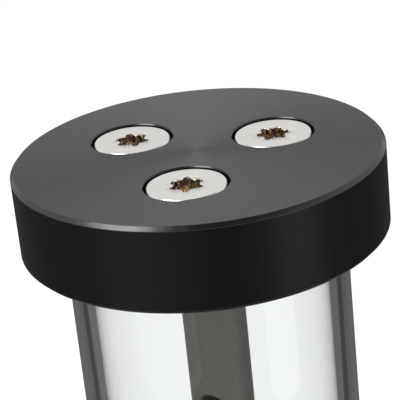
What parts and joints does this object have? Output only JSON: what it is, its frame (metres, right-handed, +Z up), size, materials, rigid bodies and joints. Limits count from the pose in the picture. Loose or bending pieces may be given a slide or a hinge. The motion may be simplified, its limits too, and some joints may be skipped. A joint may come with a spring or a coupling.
{
  "type": "coolant pump reservoir",
  "caption": "Upright glass tube reservoir for liquid cooling, with a turned cap with flush filling plugs and a canned-rotor pump in its base.",
  "frame": {"origin": "centre of the plane that the rubber feet stand on", "axes": "+Z up along the axis of the glass tube; -Y towards the front filling plug; +X towards the outlet port"},
  "size_m": [0.085, 0.085, 0.26],
  "materials": {
    "top_cap": "turned black acetal",
    "port_plug_left": "nickel plated brass",
    "port_plug_right": "nickel plated brass",
    "port_plug_front": "nickel plated brass",
    "plug_seal_left": "moulded",
    "plug_seal_right": "moulded",
    "plug_seal_front": "moulded",
    "glass_tube": "clear borosilicate glass",
    "cap_gasket": "moulded",
    "base_gasket": "moulded",
    "cap_glass_seal": "moulded",
    "base_glass_seal": "moulded",
    "riser": "satin stainless steel",
    "upper_riser_seal": "moulded",
    "lower_riser_seal": "moulded",
    "base_body": "turned black acetal",
    "pump_seal": "moulded",
    "clamp_ring": "machined",
    "clamp_screws": "plated",
    "pump_housing": "moulded",
    "separator_can": "moulded",
    "rotor_shaft": "ceramic",
    "thrust_washer": "ceramic",
    "stator_core": "laminated steel",
    "stator_windings": "enamelled copper",
    "control_board": "circuit board",
    "dial_potentiometer": "moulded",
    "back_cover": "moulded",
    "cover_screws": "plated",
    "cable_gland": "moulded",
    "cable_grommet": "moulded",
    "pump_shroud": "black anodised",
    "shroud_screws": "plated",
    "rubber_feet": "moulded",
    "rotor_magnet": "sintered ferrite",
    "rotor_bush": "carbon",
    "impeller": "moulded",
    "speed_dial": "moulded"
  },
  "bodies": {
    "reservoir": {"top_cap": "top_cap", "glass_tube": "glass_tube", "cap_gasket": "cap_gasket", "base_gasket": "base_gasket", "cap_glass_seal": "cap_glass_seal", "base_glass_seal": "base_glass_seal", "riser": "riser", "upper_riser_seal": "upper_riser_seal", "lower_riser_seal": "lower_riser_seal", "base_body": "base_body", "pump_seal": "pump_seal", "clamp_ring": "clamp_ring", "clamp_screws": "clamp_screws", "pump_housing": "pump_housing", "separator_can": "separator_can", "rotor_shaft": "rotor_shaft", "thrust_washer": "thrust_washer", "stator_core": "stator_core", "stator_windings": "stator_windings", "control_board": "control_board", "dial_potentiometer": "dial_potentiometer", "back_cover": "back_cover", "cover_screws": "cover_screws", "cable_gland": "cable_gland", "cable_grommet": "cable_grommet", "pump_shroud": "pump_shroud", "shroud_screws": "shroud_screws", "rubber_feet": "rubber_feet"},
    "rotor": {"rotor_magnet": "rotor_magnet", "rotor_bush": "rotor_bush", "impeller": "impeller"},
    "dial": {"speed_dial": "speed_dial"},
    "left_seal": {"plug_seal_left": "plug_seal_left"},
    "left_plug": {"port_plug_left": "port_plug_left"},
    "right_seal": {"plug_seal_right": "plug_seal_right"},
    "right_plug": {"port_plug_right": "port_plug_right"},
    "front_seal": {"plug_seal_front": "plug_seal_front"},
    "front_plug": {"port_plug_front": "port_plug_front"}
  },
  "joints": [
    {"name": "impeller_spin", "type": "hinge", "parent": "reservoir", "child": "rotor", "pos_m": [0, 0, 0.045], "axis": [0, 0, 1], "continuous": true},
    {"name": "dial_turn", "type": "hinge", "parent": "reservoir", "child": "dial", "pos_m": [0, 0, 0.008], "axis": [0, 0, -1], "range_deg": [-120, 120]},
    {"name": "left_plug_lift", "type": "slide", "parent": "reservoir", "child": "left_seal", "axis": [0, 0, 1], "range_m": [0, 0.00803]},
    {"name": "left_plug_turn", "type": "hinge", "parent": "left_seal", "child": "left_plug", "pos_m": [-0.01645, 0.0095, 0.256], "axis": [0, 0, 1], "range_deg": [0, 2160]},
    {"name": "right_plug_lift", "type": "slide", "parent": "reservoir", "child": "right_seal", "axis": [0, 0, 1], "range_m": [0, 0.00803]},
    {"name": "right_plug_turn", "type": "hinge", "parent": "right_seal", "child": "right_plug", "pos_m": [0.01645, 0.0095, 0.256], "axis": [0, 0, 1], "range_deg": [0, 2160]},
    {"name": "front_plug_lift", "type": "slide", "parent": "reservoir", "child": "front_seal", "axis": [0, 0, 1], "range_m": [0, 0.00803]},
    {"name": "front_plug_turn", "type": "hinge", "parent": "front_seal", "child": "front_plug", "pos_m": [0, -0.019, 0.256], "axis": [0, 0, 1], "range_deg": [0, 2160]}
  ],
  "couplings": [
    {"joint": "left_plug_lift", "follows": "left_plug_turn", "m_per_rad": 0.00021279},
    {"joint": "right_plug_lift", "follows": "right_plug_turn", "m_per_rad": 0.00021279},
    {"joint": "front_plug_lift", "follows": "front_plug_turn", "m_per_rad": 0.00021279}
  ]
}
